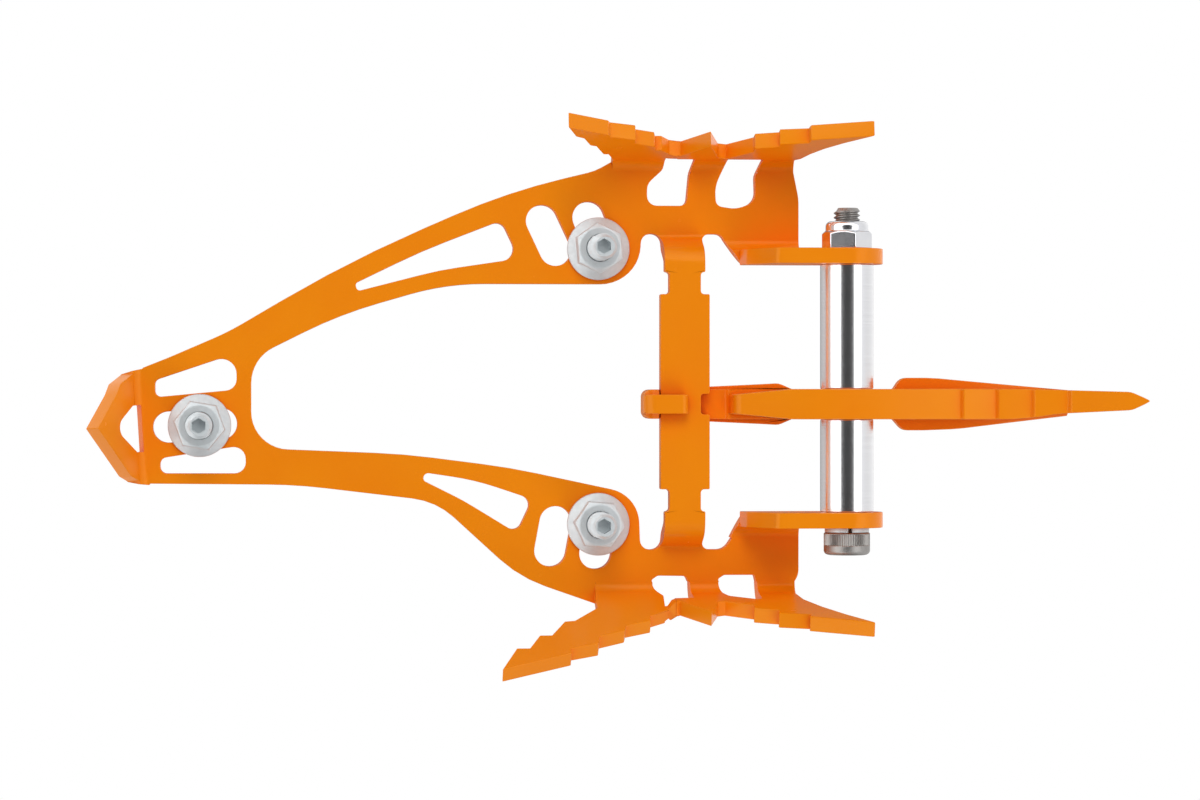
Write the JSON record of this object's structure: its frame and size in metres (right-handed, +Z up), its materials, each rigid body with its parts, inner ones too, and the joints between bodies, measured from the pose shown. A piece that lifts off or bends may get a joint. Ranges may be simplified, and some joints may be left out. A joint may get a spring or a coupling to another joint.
{
  "type": "monopoint crampon",
  "caption": "Bolt-on front crampon of bent steel sheet with serrated side teeth, a sliding-stud sole fixing and one forged front point clamped between two ears.",
  "frame": {"origin": "midway between the two front studs, on the face that lies against the sole of the boot", "axes": "+X forward along the foot to the front point, +Y to the left, +Z up into the boot, away from the teeth"},
  "size_m": [0.2373, 0.1257, 0.0395],
  "materials": {
    "orange_paint": "semi-gloss orange paint on steel",
    "chrome_tube": "polished plated steel tube",
    "grey_screw": "matt grey coated steel",
    "zinc": "bright zinc plating",
    "nylon": "coloured nylon"
  },
  "bodies": {
    "frame": {"frame_plate": "orange_paint", "front_point": "orange_paint", "long_spacer": "chrome_tube", "short_spacer": "chrome_tube"},
    "bolt": {"front_bolt": "grey_screw", "lock_washer": "zinc"},
    "bolt_nut": {"lock_nut": "zinc", "nylon_insert": "nylon"},
    "stud_rear": {"rear_stud": "zinc"},
    "stud_right": {"right_stud": "zinc"},
    "stud_left": {"left_stud": "zinc"},
    "nut_rear": {"rear_flange_nut": "zinc"},
    "nut_right": {"right_flange_nut": "zinc"},
    "nut_left": {"left_flange_nut": "zinc"}
  },
  "joints": [
    {"name": "rear_stud_slide", "type": "slide", "parent": "frame", "child": "stud_rear", "axis": [0.9981, -0.0611, 0], "range_m": [-0.0044, 0.0049]},
    {"name": "right_stud_slide", "type": "slide", "parent": "frame", "child": "stud_right", "axis": [-0.3584, -0.9336, 0], "range_m": [0, 0.0076]},
    {"name": "left_stud_slide", "type": "slide", "parent": "frame", "child": "stud_left", "axis": [-0.1736, 0.9848, 0], "range_m": [0, 0.006]},
    {"name": "rear_nut_spin", "type": "hinge", "parent": "stud_rear", "child": "nut_rear", "pos_m": [-0.09, 0.0088, -0.0065], "axis": [0, 0, 1], "continuous": true},
    {"name": "right_nut_spin", "type": "hinge", "parent": "stud_right", "child": "nut_right", "pos_m": [0, -0.03125, -0.0065], "axis": [0, 0, 1], "continuous": true},
    {"name": "left_nut_spin", "type": "hinge", "parent": "stud_left", "child": "nut_left", "pos_m": [0, 0.03125, -0.0065], "axis": [0, 0, 1], "continuous": true},
    {"name": "bolt_spin", "type": "hinge", "parent": "frame", "child": "bolt", "pos_m": [0.0554, 0, -0.014], "axis": [0, 1, 0], "continuous": true},
    {"name": "bolt_nut_spin", "type": "hinge", "parent": "bolt", "child": "bolt_nut", "pos_m": [0.0554, -0.033, -0.014], "axis": [0, 1, 0], "continuous": true}
  ]
}
